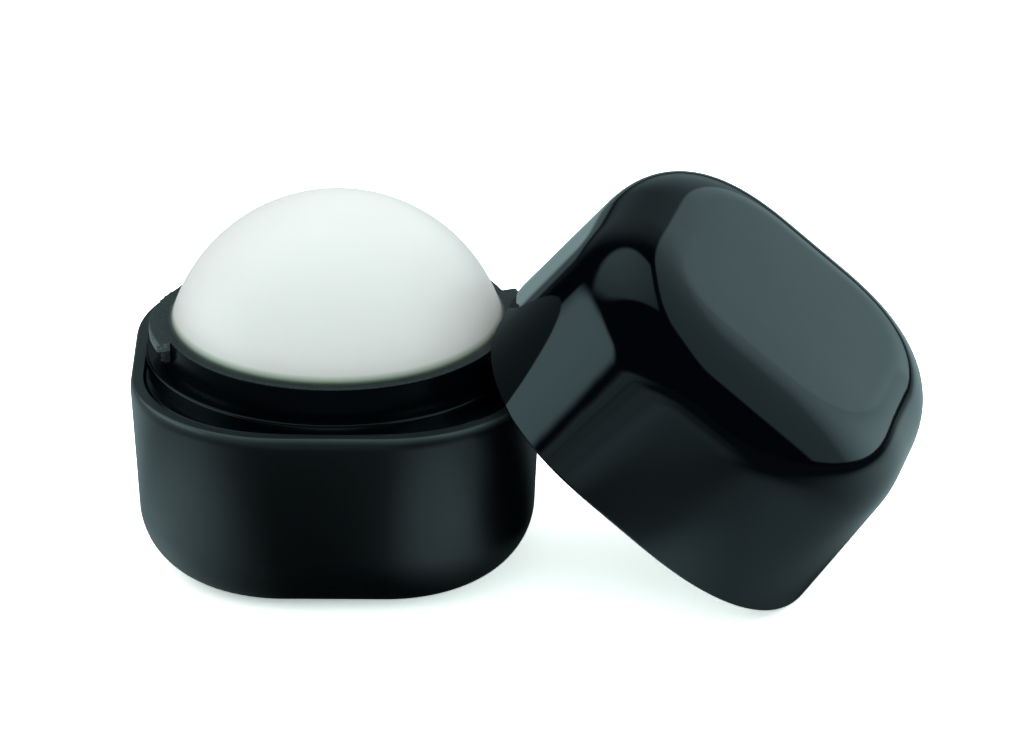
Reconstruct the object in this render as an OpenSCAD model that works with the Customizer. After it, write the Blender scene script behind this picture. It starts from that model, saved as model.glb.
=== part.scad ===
// Square lip balm pot with a domed balm and a bayonet cap, shown with the cap taken off and leaning on the pot.
// The pot stands on the plane z = 0 with its upright axis on the origin. +X points to the cap, -Y to the front.

/* [Case] */
// Width of the pot across its flat sides, at the rim
case_w = 35; // [32:0.5:42]
// Radius of the upright corners at the pot's rim
corner_r = 13.15; // [11.5:0.05:14]
// Rolled edge round the pot's foot and the cap's top
edge_r = 5.65; // [3:0.05:7]

/* [Pot shell] */
// Height of the pot from the table to its rim
pot_h = 17.4; // [16:0.1:20]
// How far each side of the pot leans in from the rim to the foot
pot_lean = 0.95; // [0.2:0.05:1.2]
// Thickness of the pot's wall at the rim
pot_wall = 1.15; // [1:0.05:1.3]
// Thickness of the pot's floor
pot_floor = 1.5; // [1:0.1:2]
// Width of the ledge inside the pot that the deck rests on
ledge_w = 0.6; // [0.4:0.05:0.7]
// Rounding of the pot's outer rim edge
rim_r = 0.35; // [0.2:0.05:0.5]

/* [Collar insert] */
// Thickness of the square deck
deck_t = 1.2; // [0.8:0.1:1.6]
// Gap between the deck and the pot's rim, all round
deck_gap = 0.15; // [0.1:0.01:0.25]
// How far the deck lies below the rim
deck_drop = 0.1; // [0.05:0.05:0.3]
// Height of the round flange's top over the pot's rim
flange_rise = 0.77; // [0.4:0.01:0.9]
// Height of the collar over the flange
collar_h = 2.73; // [2.6:0.01:3]
// How far the collar's outside lies in from the pot's flat sides
collar_set = 2.5; // [2.4:0.05:3]
// Thickness of the collar and of the balm cup below it
collar_wall = 0.88; // [0.7:0.01:1]
// How far the cup reaches below the deck
cup_drop = 3.4; // [3:0.1:6]
// How far the lugs stand out of the collar
lug_reach = 1.3; // [1:0.05:1.35]
// Height of the lugs
lug_h = 0.7; // [0.5:0.05:0.9]
// Angle that one lug spans
lug_arc = 26; // [20:1:30]
// Reach of the stop rib below a lug's end
stop_reach = 0.5; // [0.3:0.05:0.7]
// Length of the stop rib below the lug
stop_h = 1.45; // [0.8:0.05:1.6]

/* [Balm] */
// How much larger the radius of the balm's dome is than the cup's bore
dome_swell = 0.61; // [0.3:0.01:1.2]

/* [Anchor grid and fill plug] */
// Thickness of the anchor grid
grid_t = 1; // [0.8:0.1:1.4]
// Radius of the grid's holes
grid_hole_r = 1.5; // [1:0.1:1.7]
// Height of the seat ring between the plug and the grid
seat_h = 1.6; // [1:0.1:2]
// Width of the seat ring
seat_w = 0.8; // [0.5:0.1:1.2]
// Thickness of the fill plug's disc
plug_t = 1.2; // [0.8:0.1:1.4]
// Height of the plug's raised rim inside the seat ring
plug_rim_h = 0.6; // [0.4:0.1:0.8]
// Width of the plug's raised rim
plug_rim_w = 1; // [0.6:0.1:1.5]

/* [Cap shell] */
// How far each side of the cap is set in from the pot's side, at the rims
cap_inset = 0.18; // [0.1:0.01:0.3]
// How far each side of the cap leans in from its rim to its top
cap_lean = 0.8; // [0.2:0.05:1]
// Thickness of the cap's wall beside the liner
cap_wall = 0.8; // [0.75:0.01:0.85]
// Thickness of the cap's top
cap_top = 1.2; // [1:0.1:1.6]
// Air between the liner's dome and the underside of the cap's top
crown_gap = 1.215; // [0.6:0.005:3]
// How far the cap's inside steps in above the liner's body
cap_step = 0.6; // [0.4:0.05:0.8]

/* [Cap liner] */
// Depth of the liner's plate behind the cap's rim
liner_recess = 1.2; // [1.1:0.05:1.3]
// Thickness of the liner's plate, which the lugs lock behind
liner_plate_t = 1.3; // [1:0.05:1.35]
// Thickness of the liner's shoulder above the lug channel
shoulder_t = 0.9; // [0.8:0.1:1.2]
// Thickness of the liner's dome
liner_dome_t = 0.8; // [0.6:0.1:1]
// Air between the balm and the liner's dome when the cap is on
dome_air = 0.6; // [0.4:0.05:0.7]
// Running clearance round the collar and the lugs
run_gap = 0.2; // [0.15:0.05:0.22]
// Clearance between the liner and the cap's wall
liner_gap = 0.05; // [0.03:0.01:0.1]

/* [Leaning cap] */
// Direction that the cap leans towards, measured from +X
lean_turn = -12.5; // [-20:0.5:10]
// Turn of the cap about its own axis
cap_spin = 0.3; // [-2:0.1:2]
// Sideways place of the cap's rim centre
cap_y = -2.95; // [-4:0.05:0]
// Air between the cap's rim and the collar's top edge that it leans on
lean_gap = 0.1; // [0.05:0.05:0.3]
// How far the cap's inner rim edge lies inside the collar's outer edge
lean_bite = 0.3; // [0.1:0.05:0.35]

/* [Hidden] */
$fn = 128;

case_colour = "#1d2123";
insert_colour = "#15181a";
balm_colour = "#eef2ee";
cap_colour = "#0d0f10";
liner_colour = "#24292b";

// Cuts run past the surface they open by this much
overrun = 1;
// Steps in a quarter of a rounded edge
edge_steps = 12;
// Rounding of the insert's top edges, and of the cap's rim
deck_edge_r = 0.25;
flange_edge_r = 0.2;
collar_edge_r = 0.3;
cap_rim_r = 0.25;
// Rounding round the pot's floor, inside
hollow_edge_r = 3.6;

// All square sections turn about the same four upright corner axes
run = case_w / 2 - corner_r;
rim_u = corner_r;
rebate_u = rim_u - pot_wall;
hollow_u = rebate_u - ledge_w;
deck_u = rebate_u - deck_gap;
ledge_z = pot_h - deck_drop - deck_t;

// Insert, from the flange up to the collar's top and down to the cup's bottom
collar_r = case_w / 2 - collar_set;
flange_z = pot_h + flange_rise;
collar_z = flange_z + collar_h;
flange_inset = 0.05;
flange_r = run + deck_u - flange_inset;
bore_r = collar_r - collar_wall;
cup_z = ledge_z - cup_drop;
plug_recess = 0.3;
plug_z = cup_z + plug_recess;
seat_z = plug_z + plug_t;
grid_z = seat_z + seat_h;
seat_r = bore_r - seat_w;
grid_gap = 0.05;
plug_gap = 0.05;

// Lugs: each grows from the collar to its full reach at its end, under which a short stop rib hangs
lug_ends = [21, 204];
lug_r = collar_r + lug_reach;
lug_steps = 12;
stop_arc = 2.6;
stop_tip_r = 0.3;

// Anchor grid: rings of holes as [share of the bore's radius, number of holes]
grid_ring_shares = [[0, 1], [0.34, 6], [0.7, 12]];

// Balm
dome_r = bore_r + dome_swell;
dome_z = collar_z - sqrt(dome_r * dome_r - bore_r * bore_r);

// Cap, in its own frame: the rim lies on z = 0 and the cap opens downwards
cap_rim_u = corner_r - cap_inset;
cap_bore_u = cap_rim_u - cap_wall;
liner_u = cap_bore_u - liner_gap;
mouth_r = collar_r + run_gap;
pass_r = lug_r + run_gap;
plate_z = liner_recess + liner_plate_t;
channel_top = max(collar_z - pot_h + run_gap, plate_z + lug_h + run_gap);
liner_top = channel_top + shoulder_t;
liner_dome_r = dome_r + dome_air;
liner_dome_z = dome_z - pot_h;
cap_h = liner_dome_z + liner_dome_r + liner_dome_t + crown_gap + cap_top;
// Angles of the gap that a lug enters by, beyond the lug's locked place
notch_before = stop_arc;
notch_after = 2;
channel_margin = 1;

// Leaning cap: its inner rim edge lies over the collar's top, its lowest rim edge stands on the table
spin_run = run * (abs(cos(cap_spin)) + abs(sin(cap_spin)));
rim_reach = spin_run + cap_rim_u;
hook_reach = spin_run + cap_bore_u;
lean_reach = rim_reach - cap_rim_r + hook_reach;
cap_tilt = asin((collar_z + lean_gap - cap_rim_r) / norm([lean_reach, cap_rim_r])) + atan(cap_rim_r / lean_reach);
cap_z = sin(cap_tilt) * (rim_reach - cap_rim_r) + (1 - cos(cap_tilt)) * cap_rim_r;
cap_x = (collar_r - lean_bite + hook_reach * cos(cap_tilt) - cap_y * sin(lean_turn)) / cos(lean_turn);

// Points of an arc about [u, z]
function arc(u, z, r, from, to) =
    r == 0 ? [[u, z]] :
    [for (i = [0:edge_steps]) let (t = from + (to - from) * i / edge_steps) [u + r * cos(t), z + r * sin(t)]];

// Side of a wall from [low_u, 0] up to [high_u, height], with its lower and upper edges rounded
function side(low_u, high_u, height, low_r, high_r) =
    let (slope = (high_u - low_u) / height, lean = atan(slope))
    concat(
        arc(low_u + low_r * slope - low_r / cos(lean), low_r, low_r, -90, -lean),
        arc(low_u + (height - high_r) * slope - high_r / cos(lean), height - high_r, high_r, -lean, 90)
    );

// Square block with round corners: the side is extruded along the flats and turned about the corner axes
module square_block(wall) {
    low = wall[0][1];
    high = wall[len(wall) - 1][1];
    section = concat([[0, low]], wall, [[0, high]]);
    for (turn = [0:90:270])
        rotate(turn) {
            translate([run, run])
                rotate_extrude(angle = 90) polygon(section);
            translate([run, run])
                rotate([90, 0, 0]) linear_extrude(2 * run) polygon(section);
        }
    translate([-run, -run, low])
        cube([2 * run, 2 * run, high - low]);
}

// Ring sector in plan, from the inner to the outer radius
module sector(inner, outer, from, to, height) {
    rotate(from)
        rotate_extrude(angle = to - from)
            translate([inner, 0]) square([outer - inner, height]);
}

module base_shell() {
    color(case_colour)
    difference() {
        square_block(side(rim_u - pot_lean, rim_u, pot_h, edge_r, rim_r));
        translate([0, 0, pot_floor])
            square_block(side(hollow_u, hollow_u, pot_h, hollow_edge_r, 0));
        translate([0, 0, ledge_z])
            square_block(side(rebate_u, rebate_u, pot_h, 0, 0));
    }
}

// Flange, collar and cup as one turned profile
module collar_body() {
    profile = concat(
        [[0, cup_z], [collar_r, cup_z]],
        [[collar_r, ledge_z], [flange_r, ledge_z + deck_t / 2]],
        arc(flange_r - flange_edge_r, flange_z - flange_edge_r, flange_edge_r, 0, 90),
        [[collar_r, flange_z]],
        arc(collar_r - collar_edge_r, collar_z - collar_edge_r, collar_edge_r, 0, 90),
        [[0, collar_z]]
    );
    rotate_extrude() polygon(profile);
}

// Lug that grows out of the collar's top edge, with its stop rib
module lug(end) {
    root_r = collar_r - collar_wall / 2;
    outline = concat(
        [for (i = [0:lug_steps]) let (t = i / lug_steps, a = lug_arc * (t - 1), r = collar_r + lug_reach * (1 - pow(1 - t, 2)))
            [r * cos(a), r * sin(a)]],
        [for (i = [lug_steps:-1:0]) let (a = lug_arc * (i / lug_steps - 1)) [root_r * cos(a), root_r * sin(a)]]
    );
    rotate(end) {
        translate([0, 0, collar_z - lug_h])
            linear_extrude(lug_h) polygon(outline);
        rotate(-stop_arc)
            rotate_extrude(angle = stop_arc)
                polygon([
                    [root_r, collar_z - lug_h - stop_h],
                    [collar_r + stop_reach - stop_tip_r, collar_z - lug_h - stop_h],
                    [collar_r + stop_reach, collar_z - lug_h - stop_h + stop_tip_r],
                    [collar_r + stop_reach, collar_z - lug_h / 2],
                    [root_r, collar_z - lug_h / 2]
                ]);
    }
}

module inner_cup() {
    color(insert_colour)
    difference() {
        union() {
            translate([0, 0, ledge_z])
                square_block(side(deck_u, deck_u, deck_t, 0, deck_edge_r));
            collar_body();
            for (end = lug_ends) lug(end);
        }
        translate([0, 0, cup_z - overrun])
            cylinder(h = seat_z - cup_z + overrun, r = bore_r);
        translate([0, 0, cup_z])
            cylinder(h = collar_z, r = seat_r);
        translate([0, 0, grid_z])
            cylinder(h = collar_z, r = bore_r);
    }
}

// Places of the grid's holes
module grid_places() {
    for (ring = grid_ring_shares)
        for (k = [0:ring[1] - 1])
            rotate(360 * k / ring[1]) translate([ring[0] * bore_r, 0, 0]) children();
}

module balm_grid() {
    color(liner_colour)
    difference() {
        translate([0, 0, grid_z])
            cylinder(h = grid_t, r = bore_r - grid_gap);
        grid_places()
            translate([0, 0, grid_z - overrun]) cylinder(h = grid_t + 2 * overrun, r = grid_hole_r);
    }
}

module fill_plug() {
    color(liner_colour) {
        translate([0, 0, plug_z])
            cylinder(h = plug_t, r = bore_r - plug_gap);
        difference() {
            translate([0, 0, plug_z])
                cylinder(h = plug_t + plug_rim_h, r = seat_r - plug_gap);
            translate([0, 0, seat_z])
                cylinder(h = plug_rim_h + overrun, r = seat_r - plug_gap - plug_rim_w);
        }
    }
}

// Dome and block above the grid, pegs through its holes, and the layer below it
module balm() {
    color(balm_colour) {
        intersection() {
            translate([0, 0, dome_z]) sphere(dome_r);
            translate([0, 0, collar_z]) cylinder(h = dome_r, r = dome_r);
        }
        translate([0, 0, grid_z + grid_t])
            cylinder(h = collar_z - grid_z - grid_t, r = bore_r);
        grid_places()
            translate([0, 0, grid_z]) cylinder(h = grid_t, r = grid_hole_r);
        translate([0, 0, seat_z + plug_rim_h])
            cylinder(h = grid_z - seat_z - plug_rim_h, r = seat_r);
    }
}

// The cap's frame at its place against the pot
module cap_place() {
    translate([cap_x, cap_y, cap_z])
        rotate([0, 0, lean_turn])
            rotate([0, cap_tilt, 0])
                rotate([0, 0, cap_spin])
                    children();
}

module cap_shell() {
    inside_u = cap_bore_u - cap_step;
    color(cap_colour)
    cap_place()
    difference() {
        square_block(side(cap_rim_u, cap_rim_u - cap_lean, cap_h, cap_rim_r, edge_r));
        translate([0, 0, -overrun])
            square_block(side(cap_bore_u, cap_bore_u, liner_top + overrun, 0, 0));
        translate([0, 0, liner_recess])
            square_block(side(inside_u, inside_u - cap_lean, cap_h - cap_top - liner_recess, 0, edge_r - cap_top));
    }
}

module cap_liner() {
    color(liner_colour)
    cap_place()
    difference() {
        union() {
            translate([0, 0, liner_recess])
                square_block(side(liner_u, liner_u, liner_top - liner_recess, 0, 0));
            intersection() {
                translate([0, 0, liner_dome_z]) sphere(liner_dome_r + liner_dome_t);
                translate([0, 0, channel_top + shoulder_t / 2]) cylinder(h = cap_h, r = case_w);
            }
        }
        // Hollow dome over the balm
        intersection() {
            translate([0, 0, liner_dome_z]) sphere(liner_dome_r);
            translate([0, 0, plate_z]) cylinder(h = cap_h, r = mouth_r);
        }
        // Mouth that slides over the collar
        cylinder(h = channel_top, r = mouth_r);
        for (end = lug_ends) {
            // Gap in the plate that the lug enters by
            sector(bore_r, pass_r, end - notch_before, end + lug_arc + notch_after, channel_top);
            // Channel behind the plate that the lug turns into, open to the cap's wall
            translate([0, 0, plate_z])
                sector(
                    bore_r, case_w,
                    end - lug_arc - channel_margin, end + lug_arc + notch_after + channel_margin,
                    channel_top - plate_z
                );
        }
    }
}

base_shell();
inner_cup();
balm_grid();
fill_plug();
balm();
cap_shell();
cap_liner();
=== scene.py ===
# Lip balm pot with its cap taken off: the looks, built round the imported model
import math

import bmesh
import bpy
import numpy as np
from mathutils import Matrix, Vector


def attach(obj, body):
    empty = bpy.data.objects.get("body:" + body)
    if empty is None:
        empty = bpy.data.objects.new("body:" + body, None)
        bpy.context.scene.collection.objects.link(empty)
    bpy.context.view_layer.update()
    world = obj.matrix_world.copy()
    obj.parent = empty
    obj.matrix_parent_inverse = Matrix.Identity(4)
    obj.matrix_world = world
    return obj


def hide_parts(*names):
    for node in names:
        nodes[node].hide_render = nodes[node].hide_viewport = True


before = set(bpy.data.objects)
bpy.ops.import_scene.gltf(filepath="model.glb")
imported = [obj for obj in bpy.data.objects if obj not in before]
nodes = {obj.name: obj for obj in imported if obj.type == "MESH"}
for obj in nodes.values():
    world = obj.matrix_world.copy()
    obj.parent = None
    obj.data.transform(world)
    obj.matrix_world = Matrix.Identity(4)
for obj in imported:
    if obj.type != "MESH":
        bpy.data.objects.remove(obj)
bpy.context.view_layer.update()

mm = 0.001
print("frame loaded:", sorted(nodes))


# Camera, as fitted to the photograph: angles in degrees, lengths in millimetres, the clip distances in metres
camera = {
    "elevation": 25.0,
    "turn": 1.46,
    "roll": 0.33,
    "distance": 844.13,
    "aimX": 14.8813,
    "aimZ": 15.2038,
    "lens": 347.44,
    "sensor": 36.0,
    "clip": (0.01, 20),
}


def viewAxes():
    # Right, up and forward of a camera that looks down by its elevation and is turned about Z, before its roll
    e, a = math.radians(camera["elevation"]), math.radians(camera["turn"])
    forward = Vector((-math.sin(a) * math.cos(e), math.cos(a) * math.cos(e), -math.sin(e)))
    right = Vector((math.cos(a), math.sin(a), 0))
    return right, right.cross(forward), forward


def makeCamera():
    right, up, forward = viewAxes()
    aim = right * camera["aimX"] + Vector((0, 0, camera["aimZ"]))
    place = (aim - forward * camera["distance"]) * mm
    r = math.radians(camera["roll"])
    rolledRight = right * math.cos(r) - up * math.sin(r)
    rolledUp = right * math.sin(r) + up * math.cos(r)
    data = bpy.data.cameras.new("photoCamera")
    data.sensor_width, data.lens = camera["sensor"], camera["lens"]
    data.clip_start, data.clip_end = camera["clip"]
    obj = bpy.data.objects.new("photoCamera", data)
    turn = Matrix((rolledRight, rolledUp, -forward)).transposed()
    obj.matrix_world = Matrix.Translation(place) @ turn.to_4x4()
    bpy.context.scene.collection.objects.link(obj)
    bpy.context.scene.camera = obj


makeCamera()
print("camera set")


# Sizes in millimetres that several pieces share, the same as in the part's source. A softness is the power of the
# superellipse that a corner follows, where 2 is a plain arc
case = {
    "width": 35.0,
    "cornerR": 13.15,
    "edgeR": 5.65,
    "potH": 17.4,
    "potLean": 0.95,
    "potWall": 1.15,
    "potFloor": 1.5,
    "ledgeW": 0.6,
    "softness": 2.02,
    "rimIn": 0.36,
    "rimDown": 1.1,
    "hollowR": 3.6,
    "deckT": 1.2,
    "deckGap": 0.15,
    "deckDrop": 0.1,
}
run = case["width"] / 2 - case["cornerR"]
rebateU = case["cornerR"] - case["potWall"]
hollowU = rebateU - case["ledgeW"]
deckU = rebateU - case["deckGap"]
ledgeZ = case["potH"] - case["deckDrop"] - case["deckT"]


# Points of an arc: the centre plus the radius times the cosine and sine of evenly spaced angles
def arc(u, z, r, start, end, steps):
    t = np.radians(np.linspace(start, end, steps + 1))
    return np.column_stack([u + r * np.cos(t), z + r * np.sin(t)])


# How far along each side a superellipse corner of power n reaches for each unit of the arc radius it stands for:
# its middle is then as far from the sharp corner as the arc's middle
def softReach(n):
    return (1 - 0.5 ** 0.5) / (1 - 0.5 ** (1 / n))


# Soft corner at a sharp one: a quarter of a superellipse, which bends less towards its ends than an arc.
# It is the corner, plus k times the first side times 1 - sin^(2/n), plus k times the second side times 1 - cos^(2/n),
# with k from softReach
def softCorner(corner, first, second, n, steps):
    t = np.linspace(0, math.pi / 2, steps + 1)[:, None]
    rows = 1 - np.sin(t) ** (2 / n), 1 - np.clip(np.cos(t), 0, 1) ** (2 / n)
    return np.array(corner) + softReach(n) * (rows[0] * np.array(first) + rows[1] * np.array(second))


# Side of a wall from (lowU, 0) up to (highU, height): a straight line that leans by the difference,
# with a soft corner at each end where that end's (in, along the wall) sizes aren't None
def wallSide(lowU, highU, height, low, high, steps=40, n=case["softness"]):
    up = np.array([highU - lowU, height]) / math.hypot(highU - lowU, height)
    foot, top = np.array([[lowU, 0.0]]), np.array([[highU, height]])
    if low is not None:
        foot = softCorner(foot[0], (-low[0], 0), up * low[1], n, steps)
    if high is not None:
        top = softCorner(top[0], -up * high[1], (-high[0], 0), n, steps)
    return np.vstack([foot, top])


# A profile with more points: each straight stretch longer than the least length gets a point close to
# each of its ends, so that the rounding beside it doesn't bend its shading
def held(profile, least=0.4, near=0.06):
    a, b = profile[:-1], profile[1:]
    length = np.linalg.norm(b - a, axis=1)
    share = np.clip(near / np.maximum(length, 1e-9), 0, 0.5)[:, None]
    rows = np.stack([a, a + (b - a) * share, b - (b - a) * share], 1)
    keep = np.stack([np.ones(len(a), bool), length > least, length > least], 1)
    return np.vstack([rows[keep], profile[-1:]])


# Path round a square with soft corners, as the corner axis and the outward reach of each sample. Over a corner the
# reach is 1 - k(1 - cos^(2/n)) and 1 - k(1 - sin^(2/n)) of the quarter turn, with k from softReach, and along a flat
# both change evenly
def squarePath(reach, cornerSteps=64, flatSteps=4, n=case["softness"]):
    t = np.linspace(0, math.pi / 2, cornerSteps + 1)
    first = 1 - softReach(n) * (1 - np.clip(np.cos(t), 0, 1) ** (2 / n))
    outward = np.column_stack([first, first[::-1]])
    centre = np.broadcast_to([reach, reach], outward.shape)
    share = np.linspace(0, 1, flatSteps + 2)[1:-1, None]
    quarter = np.array([[0.0, 1.0], [-1.0, 0.0]])
    nextCentre, nextOutward = centre[:1] @ quarter, outward[:1] @ quarter
    centre = np.vstack([centre, centre[-1:] * (1 - share) + nextCentre * share])
    outward = np.vstack([outward, outward[-1:] * (1 - share) + nextOutward * share])
    turns = [np.linalg.matrix_power(quarter, q) for q in range(4)]
    return np.vstack([centre @ m for m in turns]), np.vstack([outward @ m for m in turns])


# Grid of points for a profile of (core, u, z) rows: a point is its corner axis drawn in by core,
# plus u along the outward direction, at height z
def squareGrid(profile, path):
    centres, outward = path
    core, u, z = profile.T
    xy = core[:, None, None] * centres[None] + u[:, None, None] * outward[None]
    return np.concatenate([xy, np.broadcast_to(z[:, None, None], xy.shape[:2] + (1,))], 2)


# Grid of points for a turned profile of (r, z) rows: each row is a circle about the upright axis
def turnedGrid(profile, steps):
    t = np.linspace(0, 2 * math.pi, steps, endpoint=False)
    r, z = profile.T
    ring = np.column_stack([np.cos(t), np.sin(t)])
    height = np.broadcast_to(z[:, None, None], (len(r), steps, 1))
    return np.concatenate([r[:, None, None] * ring[None], height], 2)


# Points and quads of a band of rings, with each row joined to the next and, if asked, the last to the first
def bandMesh(grid, joinRows=False):
    rows, cols = grid.shape[:2]
    index = np.arange(rows * cols).reshape(rows, cols)
    low = index if joinRows else index[:-1]
    high = np.roll(index, -1, 0) if joinRows else index[1:]
    quads = np.stack([low, np.roll(low, -1, 1), np.roll(high, -1, 1), high], -1).reshape(-1, 4)
    return grid.reshape(-1, 3), quads


# Two points of a piece closer than this are one, and an edge shorter than that is taken out, in metres
weldGap, shortEdge = 1e-7, 1e-8


# A piece from point arrays and quads in millimetres: doubles are merged, so poles and seams close,
# and quads that have lost a side become triangles. Edges sharper than the angle stay sharp
def addPiece(name, parts, material, angle=35):
    points, faces, start = [], [], 0
    for p, q in parts:
        points.append(p * mm)
        faces.append(q + start)
        start += len(p)
    mesh = bpy.data.meshes.new(name)
    mesh.from_pydata(np.vstack(points).tolist(), [], [f for q in faces for f in q.tolist()])
    bm = bmesh.new()
    bm.from_mesh(mesh)
    bmesh.ops.remove_doubles(bm, verts=bm.verts, dist=weldGap)
    bmesh.ops.dissolve_degenerate(bm, dist=shortEdge, edges=bm.edges)
    bm.to_mesh(mesh)
    bm.free()
    mesh.polygons.foreach_set("use_smooth", np.ones(len(mesh.polygons), bool))
    mesh.set_sharp_from_angle(angle=math.radians(angle))
    mesh.update()
    obj = bpy.data.objects.new(name, mesh)
    bpy.context.scene.collection.objects.link(obj)
    mesh.materials.append(material)
    return obj


# Node helpers: a material starts as one Principled shader, and noise reads Object coordinates
def newMaterial(name, **values):
    mat = bpy.data.materials.new(name)
    mat.use_nodes = True
    shader = mat.node_tree.nodes["Principled BSDF"]
    for key, value in values.items():
        shader.inputs[key].default_value = value
    return mat, mat.node_tree, shader


def noise(tree, scale, detail, rough=0.5):
    place = tree.nodes.new("ShaderNodeTexCoord")
    tex = tree.nodes.new("ShaderNodeTexNoise")
    tex.inputs["Scale"].default_value = scale
    tex.inputs["Detail"].default_value = detail
    tex.inputs["Roughness"].default_value = rough
    tree.links.new(place.outputs["Object"], tex.inputs["Vector"])
    return tex.outputs["Fac"]


# A value spread from low to high while the one that goes in runs between its own two limits. The defaults are
# about the range that noise has
def spread(tree, value, low, high, fromLow=0.3, fromHigh=0.7):
    node = tree.nodes.new("ShaderNodeMapRange")
    node.inputs["From Min"].default_value = fromLow
    node.inputs["From Max"].default_value = fromHigh
    node.inputs["To Min"].default_value = low
    node.inputs["To Max"].default_value = high
    tree.links.new(value, node.inputs["Value"])
    return node.outputs["Result"]


# Mask that rises from 0 to 1 while a length goes from start to end, both in millimetres
def mask(tree, length, start, end):
    return spread(tree, length, 0, 1, start * mm, end * mm)


# Colour between two, by a value from 0 to 1
def tint(tree, value, low, high):
    ramp = tree.nodes.new("ShaderNodeValToRGB")
    ramp.color_ramp.elements[0].color = (*low, 1)
    ramp.color_ramp.elements[1].color = (*high, 1)
    tree.links.new(value, ramp.inputs["Fac"])
    return ramp.outputs["Color"]


# Bump from a height, with its depth in millimetres, over another bump if there is one under it
def bump(tree, shader, height, depth, strength, under=None):
    node = tree.nodes.new("ShaderNodeBump")
    node.inputs["Distance"].default_value = depth * mm
    node.inputs["Strength"].default_value = strength
    tree.links.new(height, node.inputs["Height"])
    if under is not None:
        tree.links.new(under, node.inputs["Normal"])
    tree.links.new(node.outputs["Normal"], shader.inputs["Normal"])
    return node.outputs["Normal"]


# Sum, product or the like of two values, each a socket or a number
def joined(tree, operation, first, second):
    node = tree.nodes.new("ShaderNodeMath")
    node.operation = operation
    for socket, value in zip(node.inputs, (first, second)):
        if isinstance(value, (int, float)):
            socket.default_value = value
        else:
            tree.links.new(value, socket)
    return node.outputs[0]


# Product of two or more values
def times(tree, first, *others):
    for other in others:
        first = joined(tree, "MULTIPLY", first, other)
    return first


# Two colours blended by a factor, each a socket or a fixed value
def mixed(tree, factor, first, second, kind="MIX"):
    node = tree.nodes.new("ShaderNodeMix")
    node.data_type, node.blend_type = "RGBA", kind
    for name, value in (("Factor", factor), ("A", first), ("B", second)):
        sort = "VALUE" if name == "Factor" else "RGBA"
        socket = next(i for i in node.inputs if i.name == name and i.type == sort)
        if isinstance(value, (int, float, tuple)):
            socket.default_value = value
        else:
            tree.links.new(value, socket)
    return next(o for o in node.outputs if o.type == "RGBA")


# Height and distance from the pot's axis, in metres
def placeOf(tree):
    place = tree.nodes.new("ShaderNodeTexCoord").outputs["Object"]
    parts = tree.nodes.new("ShaderNodeSeparateXYZ")
    tree.links.new(place, parts.inputs[0])
    squares = [joined(tree, "POWER", side, 2) for side in parts.outputs[:2]]
    return parts.outputs[2], joined(tree, "POWER", joined(tree, "ADD", *squares), 0.5)


# How far a face looks up or down, from 1 to -1
def facing(tree):
    normal = tree.nodes.new("ShaderNodeTexCoord").outputs["Normal"]
    parts = tree.nodes.new("ShaderNodeSeparateXYZ")
    tree.links.new(normal, parts.inputs[0])
    return parts.outputs[2]


# What the black plastics share
plastic = {"IOR": 1.5, "Specular Tint": (0.90, 0.99, 1.0, 1)}

# Finishes. Colours and roughnesses are pairs that a noise spreads between. A grain is a noise's scale and detail,
# and its roughness where it isn't the usual one, a bump is its depth and strength, and a band is where a mask starts
# and ends. Lengths are in millimetres
caseFinish = {
    "shader": {"Specular IOR Level": 0.34, "Coat Weight": 0.5, "Coat Roughness": 0.19, "Coat IOR": 1.5},
    "plain": ((0.0009, 0.0015, 0.0029), (0.0013, 0.0020, 0.0036)),
    # The paler colour and its band paint a highlight along the rim's edge
    "paintedHighlight": ((0.036, 0.053, 0.055), (0.056, 0.080, 0.082)),
    "rimHighlightBand": (0.75, 0.1),
    "ledgeShare": 0.3,
    "ledgeFacing": (0.8, 0.99),
    "roughness": (0.42, 0.48),
    "broadGrain": (160, 3),
    "fineGrain": (9000, 2),
    "fineBump": (0.004, 0.5),
}


def satinCase():
    # Satin moulded plastic: a fine spark texture in the bump, and roughness that drifts a little
    # It mirrors in two ways: a fairly clear image in its skin, and a broad haze under it
    look = caseFinish
    mat, tree, shader = newMaterial("satinCase", **plastic, **look["shader"])
    broad = noise(tree, *look["broadGrain"])
    # The rim's edge is painted paler, a painted highlight, most at its corner and less on the flat ledge inside it
    start, end = look["rimHighlightBand"]
    edge = mask(tree, placeOf(tree)[0], case["potH"] - start, case["potH"] - end)
    onLedge = spread(tree, facing(tree), 1, look["ledgeShare"], *look["ledgeFacing"])
    edge = times(tree, edge, edge, onLedge)
    colour = mixed(tree, edge, tint(tree, broad, *look["plain"]), tint(tree, broad, *look["paintedHighlight"]))
    tree.links.new(colour, shader.inputs["Base Color"])
    tree.links.new(spread(tree, broad, *look["roughness"]), shader.inputs["Roughness"])
    bump(tree, shader, noise(tree, *look["fineGrain"]), *look["fineBump"])
    return mat


insertFinish = {
    "smooth": ((0.0008, 0.0013, 0.0024), (0.0013, 0.0019, 0.0031)),
    # The paler colours paint highlights on the collar's top edge, the lugs and the stops, and the brighter one on the
    # lugs' sides and outer edges
    "paintedHighlight": ((0.014, 0.021, 0.023), (0.050, 0.070, 0.070)),
    "brighterPaintedHighlight": ((0.06, 0.085, 0.085), (0.19, 0.25, 0.25)),
    "crumbs": (0.40, 0.72),
    "topBand": (0.10, 0.02),
    "lugBand": (0.02, 0.12),
    "deckBand": (0.1, 0.3),
    "lugFootBand": (0.08, 0),
    "lugRimBand": (0.35, 0.1),
    "sideBand": (0.1, 0.05),
    "roughness": (0.16, 0.22),
    "rubbedRoughness": 0.30,
    "gloss": 0.5,
    # The lower gloss on the collar's side is painted shade in what it mirrors
    "paintedShadeGloss": 0.07,
    "broadGrain": (300, 3),
    "fineGrain": (4200, 2),
    "coarseGrain": (6500, 3, 0.6),
    "coarseBump": (0.06, 0.8),
    "fineBump": (0.004, 0.4),
}


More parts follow.
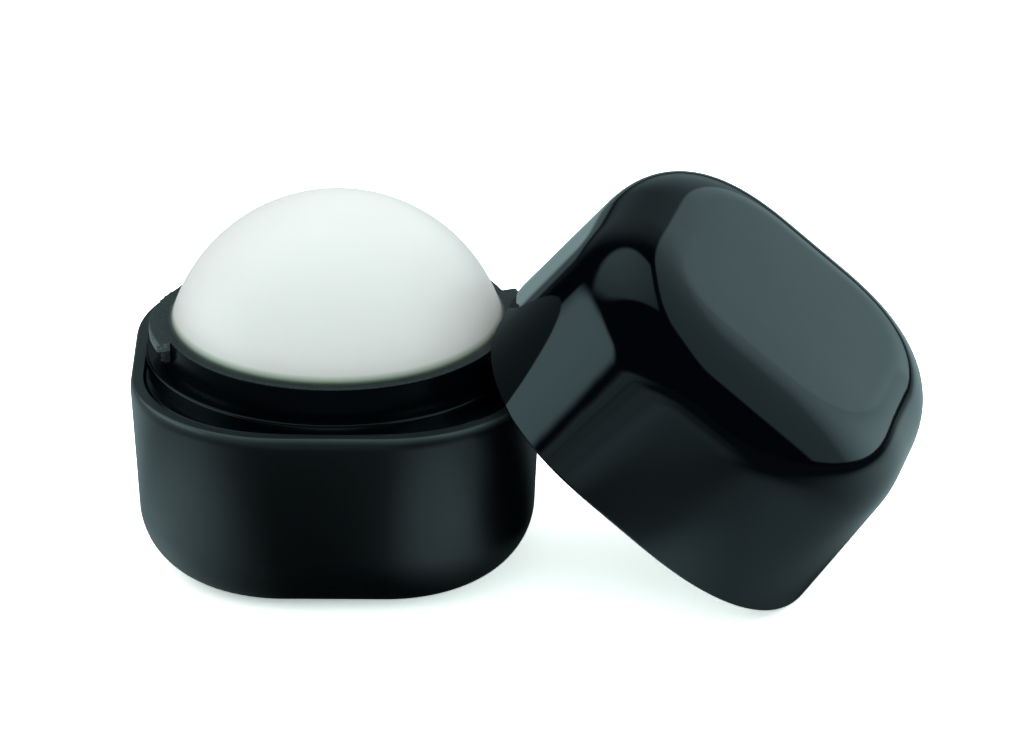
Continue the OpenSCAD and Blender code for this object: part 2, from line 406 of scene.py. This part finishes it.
def insertPlastic():
    # The insert is smooth, but its top edge, its lugs and stops are rough, worn by the cap, and painted paler there as
    # a painted highlight
    look = insertFinish
    mat, tree, shader = newMaterial("insertPlastic", **plastic)
    broad, coarse = noise(tree, *look["broadGrain"]), noise(tree, *look["coarseGrain"])
    axial, radial = placeOf(tree)

    def band(length, base, name, side):
        # Mask from one distance beside the base to another, on the side that the sign says
        start, end = look[name]
        return mask(tree, length, base + side * start, base + side * end)

    collarR, lugFootZ = insert["collarR"], collarZ - insert["lugH"]
    onTop = band(axial, collarZ, "topBand", -1)
    onLug = band(radial, collarR, "lugBand", 1)
    aboveDeck = band(axial, flangeZ, "deckBand", 1)
    dullAndHighlit = joined(tree, "MAXIMUM", onTop, times(tree, onLug, aboveDeck))
    # The lugs' upright faces and outer edges are painted paler still, a brighter painted highlight
    upright = joined(tree, "SUBTRACT", 1, joined(tree, "ABSOLUTE", facing(tree), 0))
    lugSide = times(tree, upright, band(axial, lugFootZ, "lugFootBand", -1), onLug)
    lugRim = times(tree, aboveDeck, band(radial, collarR + insert["lugReach"], "lugRimBand", -1))
    crumbs = spread(tree, coarse, 0, 1, *look["crumbs"])
    paintedHighlight, brighterPaintedHighlight = tint(tree, crumbs, *look["paintedHighlight"]), tint(tree, crumbs, *look["brighterPaintedHighlight"])
    paintedHighlight = mixed(tree, joined(tree, "MAXIMUM", lugRim, lugSide), paintedHighlight, brighterPaintedHighlight)
    smooth = tint(tree, broad, *look["smooth"])
    tree.links.new(mixed(tree, dullAndHighlit, smooth, paintedHighlight), shader.inputs["Base Color"])
    added = spread(tree, dullAndHighlit, 0, look["rubbedRoughness"], 0, 1)
    roughness = joined(tree, "ADD", spread(tree, broad, *look["roughness"]), added)
    tree.links.new(roughness, shader.inputs["Roughness"])
    # The collar's side has its gloss turned down, painted shade in what it mirrors there
    side = joined(tree, "SUBTRACT", band(radial, collarR, "sideBand", -1), onLug)
    gloss = spread(tree, times(tree, upright, side, aboveDeck), look["gloss"], look["paintedShadeGloss"], 0, 1)
    tree.links.new(gloss, shader.inputs["Specular IOR Level"])
    rough = bump(tree, shader, times(tree, coarse, dullAndHighlit), *look["coarseBump"])
    bump(tree, shader, noise(tree, *look["fineGrain"]), *look["fineBump"], rough)
    return mat


capFinish = {
    "plain": ((0.0009, 0.0012, 0.0023), (0.0012, 0.0016, 0.0028)),
    "roughness": (0.05, 0.075),
    "broadGrain": (90, 2),
    "waveGrain": (75, 3),
    "waveBump": (0.04, 1.0),
}


def polishedCap():
    look = capFinish
    mat, tree, shader = newMaterial("polishedCap", **plastic)
    broad = noise(tree, *look["broadGrain"])
    tree.links.new(tint(tree, broad, *look["plain"]), shader.inputs["Base Color"])
    tree.links.new(spread(tree, broad, *look["roughness"]), shader.inputs["Roughness"])
    # The moulded face is a little wavy, which clouds its mirror image
    bump(tree, shader, noise(tree, *look["waveGrain"]), *look["waveBump"])
    return mat


linerFinish = {
    "plain": ((0.006, 0.0075, 0.008), (0.009, 0.0105, 0.011)),
    "roughness": (0.36, 0.46),
    "broadGrain": (250, 3),
    "fineGrain": (5200, 2),
    "fineBump": (0.006, 0.5),
}


def satinLiner():
    look = linerFinish
    mat, tree, shader = newMaterial("satinLiner", **plastic)
    broad = noise(tree, *look["broadGrain"])
    tree.links.new(tint(tree, broad, *look["plain"]), shader.inputs["Base Color"])
    tree.links.new(spread(tree, broad, *look["roughness"]), shader.inputs["Roughness"])
    bump(tree, shader, noise(tree, *look["fineGrain"]), *look["fineBump"])
    return mat


balmFinish = {
    "shader": {
        "IOR": 1.44,
        "Subsurface Weight": 1.0,
        "Subsurface Radius": (0.93, 1.0, 0.97),
        "Subsurface Scale": 0.0055,
        "Coat Weight": 0.15,
        "Coat Roughness": 0.12,
        "Sheen Weight": 0.32,
        "Sheen Roughness": 0.45,
    },
    "white": ((0.87, 0.90, 0.88), (0.90, 0.93, 0.91)),
    # The band and the ramp below paint shade, green and dark, on the wax next to the collar
    "paintedShadeBand": 0.75,
    "clear": ((0, (0.030, 0.042, 0.034)), (1, (1, 1, 1)), (0.16, (0.10, 0.15, 0.10)), (0.42, (0.46, 0.56, 0.46))),
    "roughness": (0.34, 0.44),
    "broadGrain": (140, 4),
    "fineGrain": (900, 4),
    "fineBump": (0.02, 0.4),
}


def balmWax():
    look = balmFinish
    mat, tree, shader = newMaterial("balmWax", **look["shader"])
    broad, fine = noise(tree, *look["broadGrain"]), noise(tree, *look["fineGrain"])
    # The wax is thin and clear where it meets the dark collar, and its colour is painted green and dark in a narrow
    # band there: painted shade by the collar.
    # The ramp's two ends come first, and the stops between them after
    edge = tree.nodes.new("ShaderNodeValToRGB")
    stops = edge.color_ramp.elements
    for index, (place, colour) in enumerate(look["clear"]):
        stop = stops[index] if index < 2 else stops.new(place)
        stop.color = (*colour, 1)
    height = mask(tree, placeOf(tree)[0], collarZ, collarZ + look["paintedShadeBand"])
    tree.links.new(height, edge.inputs["Fac"])
    white = tint(tree, broad, *look["white"])
    colour = mixed(tree, 1.0, white, edge.outputs["Color"], "MULTIPLY")
    tree.links.new(colour, shader.inputs["Base Color"])
    tree.links.new(spread(tree, fine, *look["roughness"]), shader.inputs["Roughness"])
    bump(tree, shader, fine, *look["fineBump"])
    return mat


print("finishes ready")


# Pot shell: the outside from the foot up, the rim, the rebate for the deck, the ledge and the hollow
def potShell():
    foot, rim = (case["edgeR"], case["edgeR"]), (case["rimIn"], case["rimDown"])
    outer = wallSide(case["cornerR"] - case["potLean"], case["cornerR"], case["potH"], foot, rim)
    hollowFoot = (case["hollowR"], case["hollowR"])
    inner = wallSide(hollowU, hollowU, ledgeZ - case["potFloor"], hollowFoot, None, steps=16)[::-1]
    inner[:, 1] += case["potFloor"]
    rebate = np.array([[rebateU, case["potH"]], [rebateU, ledgeZ], [hollowU, ledgeZ]])
    side = held(np.vstack([outer, rebate, inner[1:]]))
    rows = np.column_stack([np.ones(len(side)), side])
    rows = np.vstack([[0, 0, 0], [1, 0, 0], rows, [1, 0, case["potFloor"]], [0, 0, case["potFloor"]]])
    return [bandMesh(squareGrid(rows, squarePath(run)))]


pot = addPiece("potShell", potShell(), satinCase())
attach(pot, "base")
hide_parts("base_shell")
print("pot shell made")


# Collar insert: the deck as a square band, and the flange, collar and cup as one turned wall. Tucks and sinks are
# how far a part goes on inside its neighbour
insert = {
    "deckEdgeR": 0.25,
    "deckTuck": 0.5,
    "flangeRise": 0.77,
    "flangeEdgeR": 0.2,
    "flangeInset": -0.12,
    "flangeFoot": 0.1,
    "collarH": 2.73,
    "collarR": 15.0,
    "collarWall": 0.88,
    "collarEdgeR": 0.16,
    "cupDrop": 3.4,
    "plugRecess": 0.3,
    "plugT": 1.2,
    "seatH": 1.6,
    "seatW": 0.8,
    "gridT": 1.0,
    "lugReach": 1.25,
    "lugH": 0.7,
    "lugEdgeR": 0.14,
    "lugPower": 1.8,
    "lugSink": 0.02,
    "lugRise": 0.004,
    "lugTuck": 0.1,
    "lugs": ((21.0, 26.0), (202.5, 44.0)),
    "flash": 0.11,
    "flashWaves": (171, 83, 257),
    "flashThird": 0.6,
    "flashStart": 9,
    "flashEnd": (1.45, 2),
    "stopReach": 0.8,
    "stopH": 1.25,
    "stopW": 0.46,
    "stopSink": 0.1,
    "stopFoot": 0.35,
    "stopBody": 0.42,
    "stopTip": (0.15, 0.02),
    "stopLumps": (0.07, 9, 23),
}
flangeZ = case["potH"] + insert["flangeRise"]
collarZ = flangeZ + insert["collarH"]
flangeR = run + deckU - insert["flangeInset"]
boreR = insert["collarR"] - insert["collarWall"]
cupZ = ledgeZ - insert["cupDrop"]
seatZ = cupZ + insert["plugRecess"] + insert["plugT"]
gridZ = seatZ + insert["seatH"]


def deckBand():
    edge = (insert["deckEdgeR"], insert["deckEdgeR"])
    side = wallSide(deckU, deckU, case["deckT"], None, edge, steps=10)
    side[:, 1] += ledgeZ
    inner = insert["collarR"] - insert["deckTuck"] - run
    side = held(np.vstack([[inner, ledgeZ], side, [inner, ledgeZ + case["deckT"]]]))
    rows = np.column_stack([np.ones(len(side)), side])
    return bandMesh(squareGrid(rows, squarePath(run)), joinRows=True)


def collarWall():
    r, edge, flangeEdge = insert["collarR"], insert["collarEdgeR"], insert["flangeEdgeR"]
    outer = np.vstack([
        [[r, cupZ], [r, ledgeZ + insert["flangeFoot"]], [flangeR, ledgeZ + case["deckT"] / 2]],
        arc(flangeR - flangeEdge, flangeZ - flangeEdge, flangeEdge, 0, 90, 10),
        [[r, flangeZ]],
        arc(r - edge, collarZ - edge, edge, 0, 90, 12),
    ])
    seatR = boreR - insert["seatW"]
    inner = np.array([[boreR, collarZ], [boreR, gridZ], [seatR, gridZ], [seatR, seatZ], [boreR, seatZ], [boreR, cupZ]])
    return bandMesh(turnedGrid(held(np.vstack([outer, inner])), steps=320), joinRows=True)


# Grid of points from their radii, angles and heights
def roundGrid(radial, angle, height):
    return np.stack([radial * np.cos(angle), radial * np.sin(angle), np.broadcast_to(height, radial.shape)], 2)


# A lug as a closed band: across it, the section runs from inside the collar's wall round two soft edges and back
# over the collar's top. Along it the reach grows as one minus a power of what is left to its end. The product of
# two sines, plus a third, gives its thin start the ragged flash of the moulding, and dies out on the way
def lugBand(end, span):
    r, high, edge = insert["collarR"], insert["lugH"], insert["lugEdgeR"]
    sink, tuck = insert["lugSink"], insert["lugTuck"]
    t = np.linspace(0, 1, 181)
    angle = np.radians(end + span * (t - 1))
    first, second, third = insert["flashWaves"]
    waves = np.sin(first * t) * np.sin(second * t + 1) + insert["flashThird"] * np.sin(third * t)
    whole, fall = insert["flashEnd"]
    flash = insert["flash"] * waves * np.clip(insert["flashStart"] * t, 0, 1) * np.clip(whole - fall * t, 0, 1)
    reach = r - sink + (insert["lugReach"] + sink) * (1 - (1 - t) ** insert["lugPower"]) + flash
    section = np.vstack([arc(-edge, edge, edge, -90, 0, 5), arc(-edge, high - edge, edge, 0, 90, 5)])
    outer = reach[:, None] + section[:, 0]
    root = r - insert["collarWall"] / 2
    inner = np.broadcast_to([root, root - tuck, root - tuck], (len(t), 3))
    height = collarZ + insert["lugRise"] - high + np.concatenate([section[:, 1], [high, high - tuck, 0]])
    return bandMesh(endCapped(roundGrid(np.hstack([outer, inner]), angle[:, None], height)))


# A band's grid with each end row repeated and drawn to its middle, which closes the ends
def endCapped(grid):
    first, last = (row.mean(1, keepdims=True).repeat(grid.shape[1], 1) for row in (grid[:1], grid[-1:]))
    return np.concatenate([first, grid, last])


# A stop as an upright half-round rib under the lug's end: half an ellipse in plan, a little lumpy by a product of
# two sines of the height, that shrinks to almost nothing at its foot as the root of one minus a square
def stopBand(end):
    r, sink, foot, half = insert["collarR"], insert["stopSink"], insert["stopFoot"], insert["stopW"] / 2
    low, high = collarZ - insert["lugH"] - insert["stopH"], collarZ - insert["lugH"] / 2
    tipTurn, tipShare = insert["stopTip"]
    rounded = low + foot * (1 - np.cos(np.linspace(tipTurn, math.pi / 2, 9)))
    z = np.concatenate([rounded, np.linspace(low + insert["stopBody"], high, 14)])
    lump, first, second = insert["stopLumps"]
    size = np.sqrt(np.clip(1 - np.clip((low + foot - z) / foot, 0, 1) ** 2, tipShare, 1))
    size = (size * (1 + lump * np.sin(first * z) * np.sin(second * z)))[:, None]
    turn = np.radians(np.linspace(-90, 90, 15))
    radial = r - sink + size * (insert["stopReach"] + sink) * np.cos(turn)
    angle = math.radians(end) - half / r + size * half * np.sin(turn) / r
    return bandMesh(endCapped(roundGrid(radial, angle, z[:, None])))


collarParts = [deckBand(), collarWall()]
for lugEnd, lugSpan in insert["lugs"]:
    collarParts += [lugBand(lugEnd, lugSpan), stopBand(lugEnd)]
collar = addPiece("collarInsert", collarParts, insertPlastic(), angle=28)
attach(collar, "base")
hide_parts("inner_cup")
print("collar insert made")


# Balm: a sphere's cap that meets the collar's bore at its top edge, over a round block
balmSizes = {
    "domeR": 14.73,
    "spill": 0.22,
    "spillT": 0.012,
    "foot": 0.22,
    "footPower": 2.2,
    "wallGap": 0.01,
    "topGap": 0.002,
}
domeZ = collarZ - math.sqrt(balmSizes["domeR"] ** 2 - boreR ** 2)


def balmBody():
    r, foot, thin = balmSizes["domeR"], balmSizes["foot"], balmSizes["spillT"]
    start = math.degrees(math.asin((collarZ + foot - domeZ) / r))
    dome = arc(0, domeZ, r, start, 90, 90)
    dome[-1, 0] = 0
    # The foot is a hollow curve: its height falls as a power of the way out over the collar's top
    way = np.linspace(0, 1, 9)[::-1]
    footU = dome[0, 0] + way * (boreR + balmSizes["spill"] - dome[0, 0])
    footZ = collarZ + thin + (foot - thin) * (1 - way) ** balmSizes["footPower"]
    low, high, side = gridZ + insert["gridT"], collarZ + balmSizes["topGap"], boreR - balmSizes["wallGap"]
    block = np.array([[0, low], [side, low], [side, high], [footU[0], high]])
    profile = np.vstack([block, np.column_stack([footU, footZ])[:-1], dome])
    return [bandMesh(turnedGrid(held(profile), steps=320))]


balm = addPiece("balmDome", balmBody(), balmWax())
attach(balm, "base")
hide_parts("balm")
print("balm made")


# Cap shell in its own frame, opening downwards, then set at its lean against the pot
cap = {
    "height": 17.85,
    "crown": 0.36,
    "softness": 2.4,
    "inset": 0.18,
    "lean": 0.8,
    "wall": 0.8,
    "top": 1.2,
    "step": 0.6,
    "rimR": 0.25,
    "linerTop": 4.6,
    "linerRecess": 1.2,
    "leanTurn": -12.5,
    "spin": 0.3,
    "rimY": -2.95,
    "leanGap": 0.1,
    "leanBite": 0.3,
}
capRimU = case["cornerR"] - cap["inset"]
capBoreU = capRimU - cap["wall"]


def capPlace():
    # The rim's inner edge lies over the collar's top, and its lowest edge stands on the table
    spin, turn = math.radians(cap["spin"]), math.radians(cap["leanTurn"])
    spinRun = run * (math.cos(spin) + abs(math.sin(spin)))
    rimReach, hookReach = spinRun + capRimU, spinRun + capBoreU
    reach = rimReach - cap["rimR"] + hookReach
    tilt = math.asin((collarZ + cap["leanGap"] - cap["rimR"]) / math.hypot(reach, cap["rimR"]))
    tilt += math.atan(cap["rimR"] / reach)
    z = math.sin(tilt) * (rimReach - cap["rimR"]) + (1 - math.cos(tilt)) * cap["rimR"]
    x = insert["collarR"] - cap["leanBite"] + hookReach * math.cos(tilt) - cap["rimY"] * math.sin(turn)
    place = np.array([x / math.cos(turn), cap["rimY"], z])
    turned = Matrix.Rotation(turn, 3, "Z") @ Matrix.Rotation(tilt, 3, "Y") @ Matrix.Rotation(spin, 3, "Z")
    return place, np.array(turned)


capOrigin, capTurn = capPlace()


def leaned(part):
    points, quads = part
    return points @ capTurn.T + capOrigin, quads


def capShell():
    rimEdge, topEdge, soft = (cap["rimR"], cap["rimR"]), (case["edgeR"], case["edgeR"]), cap["softness"]
    outer = wallSide(capRimU, capRimU - cap["lean"], cap["height"], rimEdge, topEdge, steps=56, n=soft)
    ceilingZ = cap["height"] - cap["top"]
    inH, insideU, inR = ceilingZ - cap["linerRecess"], capBoreU - cap["step"], case["edgeR"] - cap["top"]
    ceiling = wallSide(insideU, insideU - cap["lean"], inH, None, (inR, inR), steps=20, n=soft)
    ceiling[:, 1] += cap["linerRecess"]
    above = ceiling[ceiling[:, 1] > cap["linerTop"]]
    stepU = insideU - (cap["linerTop"] - cap["linerRecess"]) * cap["lean"] / inH
    low = np.array([[stepU, cap["linerTop"]], [capBoreU, cap["linerTop"]], [capBoreU, 0]])
    outerRows = held(outer)
    innerRows = held(np.vstack([above[::-1], low, outer[:1]]))
    # The top is a low dome: each row falls by the crown times its share of the height and the square of its way out
    way = np.linspace(1, 0, 25)[1:]
    flat = np.column_stack([way, way * outerRows[-1, 0], np.full(len(way), outerRows[-1, 1])])
    outside = np.vstack([np.column_stack([np.ones(len(outerRows)), outerRows]), flat])
    reach = (run * outside[:, 0] + outside[:, 1]) / (case["width"] / 2)
    outside[:, 2] -= cap["crown"] * outside[:, 2] / cap["height"] * reach ** 2
    inside = np.column_stack([np.ones(len(innerRows)), innerRows])
    inside = np.vstack([[0, 0, ceilingZ], [1, 0, ceilingZ], inside])
    path = squarePath(run, cornerSteps=80, n=soft)
    return [leaned(bandMesh(squareGrid(rows, path))) for rows in (outside, inside)]


shell = addPiece("capShell", capShell(), polishedCap())
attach(shell, "cap")
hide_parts("cap_shell")
print("cap shell made")


# The liner, the grid and the plug keep their solids' shapes
linerPlastic = satinLiner()
for name in ("cap_liner", "balm_grid", "fill_plug"):
    nodes[name].data.materials.clear()
    nodes[name].data.materials.append(linerPlastic)


# Studio: a pale floor, three soft lamps, and a surround that the camera sees as white. Mirrored rays see
# the panels of light that the cap's reflections show. Directions are (azimuth from +X, elevation) in degrees. A lamp
# has its place, size and power. Lengths are in metres, but the shade's gap is in millimetres
studio = {
    "floorSize": 6.0,
    "floorGap": 0.00003,
    "floorColour": (0.80, 0.80, 0.80, 1),
    "floorShown": (2.7, 2.7, 2.7, 1),
    "floorGlow": (0.41, 0.47, 0.45, 1),
    "floorLeast": 0.025,
    "tone": (0.70, 1.0, 1.04, 1),
    "fillHeading": (90, 40),
    "fillLow": (0.20, 0.31, 0.28, 1),
    "fillHigh": (0.84, 0.86, 0.85, 1),
    "panelShare": 0.6,
    "panelLeast": 0.2,
    "lampAim": (0.01, 0, 0.01),
    "lamps": {
        "leftLamp": ((-0.60, -0.04, 0.34), 0.45, 0.45),
        "rightLamp": ((0.20, 0.30, 0.62), 0.45, 0.70),
        "frontLamp": ((0.24, -0.55, 0.28), 0.40, 0.42),
    },
    "shadeLevel": 0.09,
    "shadeGap": 0.06,
}
# Spots of light on the floor that mirrored rays see: middle in millimetres, inner and outer reach, level
floorSpots = {
    "left": ((-27, -17), 3, 24, 0.80),
    "front": ((19, -28), 5, 18, 0.56),
    "frontMiddle": ((30, -36), 8, 32, 0.30),
    "frontLeft": ((2, -72), 6, 32, 0.28),
    "right": ((80, -5), 10, 75, 0.38),
    "farRight": ((95, 30), 20, 75, 0.34),
    "behindRight": ((90, 90), 20, 80, 0.50),
    "backRight": ((120, 200), 40, 160, 0.28),
    "backLeft": ((-30, 28), 8, 50, 0.46),
    "behind": ((4, 88), 15, 75, 0.42),
    "nearBehind": ((8, 40), 5, 30, 0.4),
    "farBehind": ((-30, 260), 60, 190, 0.15),
    "farLeft": ((-110, -10), 20, 110, 0.35),
    "farFront": ((-38, -103), 12, 72, 0.36),
    "farFrontLeft": ((-95, -150), 8, 50, 0.30),
    "farLeftFront": ((-170, -215), 10, 110, 0.30),
    "nearHorizon": ((-330, -345), 40, 260, 0.36),
    "horizonLeft": ((-700, -560), 200, 560, 0.18),
}
# How much of its own glow the shown floor keeps, as middle, inner and outer reach, share: painted light under the
# leaning cap, and painted shadow close to the pot's and the cap's foot
paintedLightAndShadow = {
    "between": ((23, -5), 9, 19, 1.22),
    "potFoot": ((-6, 4), 14, 22, 0.60),
    "capFoot": ((40, -16), 2, 6.5, 0.55),
}
# Painted shade on the floor for mirrored rays, under the leaning cap and round the foot of the pot, in the same way
paintedMirroredShade = {
    "underCap": ((32, -4), 9, 18, 0),
    "potFoot": ((0, 0), 13, 21, 0.4),
}
# Panels of light: corners in order, how soft the edge after each corner is in degrees, the level at the middle, by
# how many times that level it falls towards a right angle from there, and the least level where it isn't the usual
# share
panels = {
    "right": {
        "corners": ((68, 2), (68, 26), (64, 43), (4, 72), (-40, 65), (-56, 36), (-38, 0), (40, -2), (53, -3)),
        "soft": (2, 2, 2, 2, 3, 5, 3, 2, 3),
        "level": 1.60,
        "middle": (26, 2),
        "fall": 3.9,
        "least": 0.5,
    },
    "top": {
        "corners": ((158, 27), (126, 36), (98, 47), (64, 54.5), (-45, 74), (-95, 79), (-160, 62), (180, 40)),
        "soft": (10, 6, 4, 2, 3, 5, 8, 14),
        "level": 0.66,
        "middle": (130, 60),
        "fall": 2.0,
    },
    "left": {
        "corners": ((-145, 0), (-149, 13), (-169, 25), (160, 24), (142, 10), (140, 0)),
        "soft": (5, 5, 8, 12, 3, 3),
        "level": 1.50,
        "middle": (-164, 8),
        "fall": 1.3,
    },
    "back": {
        "corners": ((52, 0), (52, 24), (75, 40), (108, 34), (116, 0)),
        "soft": (1, 16, 20, 20, 16),
        "level": 0.50,
        "middle": (74, 0),
        "fall": 5.6,
        "least": 0.14,
    },
}


# Unit vector towards a direction
def heading(azimuth, elevation):
    a, e = math.radians(azimuth), math.radians(elevation)
    return Vector((math.cos(e) * math.cos(a), math.cos(e) * math.sin(a), math.sin(e)))


# How much of a vector lies along an axis
def along(tree, vector, axis):
    node = tree.nodes.new("ShaderNodeVectorMath")
    node.operation = "DOT_PRODUCT"
    node.inputs[1].default_value = axis
    tree.links.new(vector, node.inputs[0])
    return node.outputs["Value"]


# Level of one panel in a direction: the product of a soft step over each edge's plane, which goes through
# the middle of the sphere and two corners, times a level that falls with one minus the cosine from its middle
def panelLevel(tree, direction, panel):
    corners = [heading(*c) for c in panel["corners"]]
    middle = sum(corners, Vector())
    most = panel["level"]
    near = along(tree, direction, heading(*panel["middle"]))
    level = spread(tree, near, most * (1 - panel["fall"]), most, 0, 1)
    level = joined(tree, "MAXIMUM", level, panel.get("least", studio["panelLeast"] * most))
    for start, end, soft in zip(corners, corners[1:] + corners[:1], panel["soft"]):
        edge = start.cross(end).normalized()
        if edge.dot(middle) < 0:
            edge = -edge
        half = math.sin(math.radians(soft)) / 2
        inside = spread(tree, along(tree, direction, edge), 0, 1, -half, half)
        inside.node.interpolation_type = "SMOOTHSTEP"
        level = joined(tree, "MULTIPLY", level, inside)
    return level


def makeWorld():
    world = bpy.data.worlds.new("studio")
    bpy.context.scene.world = world
    world.use_nodes = True
    world.cycles.sampling_method = "NONE"
    tree = world.node_tree
    back = tree.nodes["Background"]
    direction = tree.nodes.new("ShaderNodeTexCoord").outputs["Generated"]
    total = 0.0
    for panel in panels.values():
        total = joined(tree, "ADD", panelLevel(tree, direction, panel), total)
    ray = tree.nodes.new("ShaderNodeLightPath")
    share = joined(tree, "MULTIPLY", total, studio["panelShare"])
    rise = spread(tree, along(tree, direction, heading(*studio["fillHeading"])), 0, 1, -1, 1)
    soft = mixed(tree, 1.0, share, mixed(tree, rise, studio["fillLow"], studio["fillHigh"]), "ADD")
    toned = mixed(tree, 1.0, total, studio["tone"], "MULTIPLY")
    lit = mixed(tree, ray.outputs["Is Glossy Ray"], soft, toned)
    shown = mixed(tree, ray.outputs["Is Camera Ray"], lit, (1, 1, 1, 1))
    tree.links.new(shown, back.inputs["Color"])


# Material with nothing but its output, for shaders that aren't Principled
def bareMaterial(name):
    mat = bpy.data.materials.new(name)
    mat.use_nodes = True
    mat.node_tree.nodes.clear()
    out = mat.node_tree.nodes.new("ShaderNodeOutputMaterial")
    return mat, mat.node_tree, out.inputs["Surface"]


# Floor: white with soft contact shadows to the camera, partly cast by the light and partly painted. Mirrored rays see
# a dim floor with spots of light, each a soft step from its outer to its inner reach
def makeFloor():
    half = studio["floorSize"] / 2
    mesh = bpy.data.meshes.new("floor")
    # The floor lies a hair under the foot, so that the two faces never coincide
    low = -studio["floorGap"]
    corners = [(-half, -half, low), (half, -half, low), (half, half, low), (-half, half, low)]
    mesh.from_pydata(corners, [], [(0, 1, 2, 3)])
    obj = bpy.data.objects.new("floor", mesh)
    bpy.context.scene.collection.objects.link(obj)
    mat, tree, surface = bareMaterial("floorPaper")
    new, link = tree.nodes.new, tree.links.new

    def paper(colour):
        node = new("ShaderNodeBsdfDiffuse")
        node.inputs["Color"].default_value = colour
        return node.outputs[0]

    def light(colour, strength):
        node = new("ShaderNodeEmission")
        node.inputs["Color"].default_value = colour
        link(strength, node.inputs["Strength"])
        return node.outputs[0]

    def chosen(factor, first, second):
        node = new("ShaderNodeMixShader")
        link(factor, node.inputs[0])
        link(first, node.inputs[1])
        link(second, node.inputs[2])
        return node.outputs[0]

    place = new("ShaderNodeTexCoord").outputs["Object"]

    def spot(middle, inner, outer, within, beyond):
        reach = new("ShaderNodeVectorMath")
        reach.operation = "DISTANCE"
        reach.inputs[1].default_value = (middle[0] * mm, middle[1] * mm, 0)
        link(place, reach.inputs[0])
        step = spread(tree, reach.outputs["Value"], within, beyond, inner * mm, outer * mm)
        step.node.interpolation_type = "SMOOTHSTEP"
        return step

    def scaled(level, spots):
        for middle, inner, outer, share in spots.values():
            level = joined(tree, "MULTIPLY", spot(middle, inner, outer, share, 1), level)
        return level

    level = studio["floorLeast"]
    for middle, inner, outer, strength in floorSpots.values():
        level = joined(tree, "ADD", spot(middle, inner, outer, strength, 0), level)
    # Painted shade under the leaning cap and round the pot's foot dims what mirrored rays see
    mirrored = light(studio["tone"], scaled(level, paintedMirroredShade))
    shown = new("ShaderNodeAddShader")
    link(paper(studio["floorShown"]), shown.inputs[0])
    # The glow is scaled by painted light under the leaning cap and painted shadow round the feet
    link(light(studio["floorGlow"], scaled(1, paintedLightAndShadow)), shown.inputs[1])
    ray = new("ShaderNodeLightPath").outputs
    plain = chosen(ray["Is Glossy Ray"], paper(studio["floorColour"]), mirrored)
    link(chosen(ray["Is Camera Ray"], plain, shown.outputs[0]), surface)
    mesh.materials.append(mat)


def softLamp(name, place, size, power):
    data = bpy.data.lights.new(name, "AREA")
    data.shape, data.size, data.energy = "SQUARE", size, power
    obj = bpy.data.objects.new(name, data)
    obj.location = place
    obj.rotation_euler = (Vector(studio["lampAim"]) - Vector(place)).to_track_quat("-Z", "Y").to_euler()
    obj.visible_camera = obj.visible_glossy = False
    bpy.context.scene.collection.objects.link(obj)


# Shade round the balm's dome, for mirrored rays that come from outside: the cap's side mirrors the dark gap
# between itself and the balm
def makeShade():
    r = balmSizes["domeR"] + studio["shadeGap"]
    start = math.degrees(math.asin((collarZ - domeZ + studio["shadeGap"]) / r))
    dome = arc(0, domeZ, r, start, 90, 24)
    dome[-1, 0] = 0
    mat, tree, surface = bareMaterial("mirroredShade")
    dark = tree.nodes.new("ShaderNodeEmission")
    dark.inputs["Color"].default_value = studio["tone"]
    dark.inputs["Strength"].default_value = studio["shadeLevel"]
    clear = tree.nodes.new("ShaderNodeBsdfTransparent")
    side = tree.nodes.new("ShaderNodeNewGeometry")
    pick = tree.nodes.new("ShaderNodeMixShader")
    tree.links.new(side.outputs["Backfacing"], pick.inputs[0])
    tree.links.new(dark.outputs[0], pick.inputs[1])
    tree.links.new(clear.outputs[0], pick.inputs[2])
    tree.links.new(pick.outputs[0], surface)
    shade = addPiece("mirroredShade", [bandMesh(turnedGrid(dome, steps=64))], mat)
    shade.visible_camera = shade.visible_diffuse = shade.visible_shadow = shade.visible_transmission = False


makeFloor()
makeWorld()
makeShade()
for lampName, (place, size, power) in studio["lamps"].items():
    softLamp(lampName, place, size, power)
bpy.context.scene.view_settings.view_transform = "Standard"
print("studio made")
